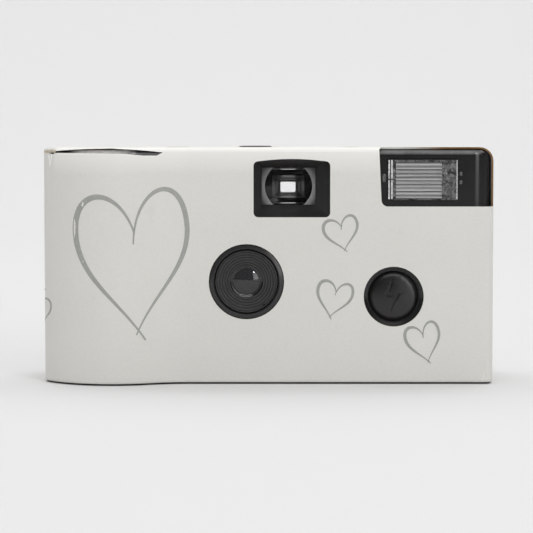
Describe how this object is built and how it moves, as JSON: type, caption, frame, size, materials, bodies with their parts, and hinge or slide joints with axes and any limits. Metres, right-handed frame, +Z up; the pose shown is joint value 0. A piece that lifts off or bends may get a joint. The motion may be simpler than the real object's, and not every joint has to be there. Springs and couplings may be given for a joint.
{
  "type": "disposable film camera",
  "caption": "Single-use film camera in a white card sleeve, with a rounded grip, stepped lens, viewfinder, ribbed flash, flash button, shutter button and film-advance wheel.",
  "frame": {"origin": "centre of the footprint, on the surface the camera stands on", "axes": "+X to the right as seen from the front, the lens faces -Y, +Z up"},
  "size_m": [0.118, 0.036, 0.0623],
  "materials": {
    "card": "matt white card with a pale grey print",
    "gloss_black": "glossy black moulding",
    "matte_black": "matt black moulding",
    "grey_plastic": "plain grey moulding",
    "white_plastic": "plain white moulding",
    "clear": "clear moulded acrylic or glass",
    "amber": "clear warm-tinted acrylic",
    "blackened_metal": "blackened thin sheet",
    "spring_steel": "bright spring wire and strip",
    "cassette_metal": "plain painted sheet steel",
    "felt": "black velvet light trap",
    "film": "brown-grey film base",
    "reflector": "polished reflector sheet",
    "board": "brown paper-resin circuit board",
    "capacitor": "black sleeve on an aluminium can",
    "ferrite": "dark ferrite and tape",
    "cell": "plain cell wrapper"
  },
  "bodies": {
    "camera": {"card_sleeve": "card", "front_cover": "gloss_black", "rear_cover": "gloss_black", "chassis": "matte_black", "lens_bezel": "gloss_black", "taking_lens": "clear", "aperture_plate": "blackened_metal", "striker_spring": "spring_steel", "wheel_pawl": "grey_plastic", "counter_window": "clear", "cassette_shell": "cassette_metal", "cassette_caps": "cassette_metal", "cassette_felt": "felt", "film_strip": "film", "finder_objective": "clear", "finder_eyepiece": "clear", "finder_tunnel": "matte_black", "flash_window": "clear", "flash_reflector": "reflector", "flash_tube": "clear", "flash_board": "board", "flash_capacitor": "capacitor", "flash_transformer": "ferrite", "trigger_coil": "ferrite", "ready_lamp": "clear", "ready_light_pipe": "amber", "flash_contact": "spring_steel", "sync_contacts": "spring_steel", "battery_cell": "cell", "battery_contact_plus": "spring_steel", "battery_contact_minus": "spring_steel", "board_screws": "spring_steel"},
    "shutter_button": {"shutter_button": "gloss_black"},
    "release_lever": {"release_lever": "grey_plastic"},
    "striker": {"striker_lever": "grey_plastic"},
    "blade": {"shutter_blade": "blackened_metal"},
    "wind": {"thumb_wheel": "matte_black", "cassette_spool": "matte_black", "film_coil": "film"},
    "sprocket": {"film_sprocket": "grey_plastic"},
    "supply": {"supply_spool": "grey_plastic", "film_roll": "film"},
    "counter": {"counter_dial": "white_plastic"},
    "flash_button": {"flash_button": "gloss_black"}
  },
  "joints": [
    {"name": "shutter_press", "type": "slide", "parent": "camera", "child": "shutter_button", "axis": [0, 0, -1], "range_m": [0, 0.0012], "stiffness_N_per_m": 200},
    {"name": "release_rock", "type": "hinge", "parent": "camera", "child": "release_lever", "pos_m": [-0.017, -0.0035, 0.0535], "axis": [0, 1, 0], "range_deg": [0, 6.6]},
    {"name": "striker_swing", "type": "hinge", "parent": "camera", "child": "striker", "pos_m": [-0.011, 0.004, 0.0482], "axis": [0, 0, 1], "range_deg": [0, 27], "stiffness_Nm_per_rad": 0.0005, "deforming": ["striker_spring"]},
    {"name": "blade_swing", "type": "hinge", "parent": "camera", "child": "blade", "pos_m": [-0.013, -0.0066, 0.0365], "axis": [0, 1, 0], "range_deg": [0, 22.1]},
    {"name": "thumb_wheel_turn", "type": "hinge", "parent": "camera", "child": "wind", "pos_m": [-0.0406, 0.0023, 0.0533], "axis": [0, 0, 1], "continuous": true, "deforming": ["film_strip"]},
    {"name": "sprocket_turn", "type": "hinge", "parent": "camera", "child": "sprocket", "pos_m": [-0.0208, 0.00726, 0.045], "axis": [0, 0, 1], "continuous": true, "deforming": ["film_strip"]},
    {"name": "supply_turn", "type": "hinge", "parent": "camera", "child": "supply", "pos_m": [0.0254, 0.0029, 0.025], "axis": [0, 0, 1], "continuous": true},
    {"name": "counter_turn", "type": "hinge", "parent": "camera", "child": "counter", "pos_m": [-0.0182, -0.003, 0.058], "axis": [0, 0, 1], "continuous": true},
    {"name": "flash_press", "type": "slide", "parent": "camera", "child": "flash_button", "axis": [0, 1, 0], "range_m": [0, 0.001], "stiffness_N_per_m": 200, "deforming": ["flash_contact"]}
  ],
  "couplings": [
    {"joint": "release_rock", "follows": "shutter_press", "rad_per_m": 94.975},
    {"joint": "blade_swing", "follows": "striker_swing", "ratio": 0.81481},
    {"joint": "sprocket_turn", "follows": "thumb_wheel_turn", "ratio": 1.2794},
    {"joint": "supply_turn", "follows": "thumb_wheel_turn", "ratio": 0.99077},
    {"joint": "counter_turn", "follows": "thumb_wheel_turn", "ratio": -0.03554}
  ]
}
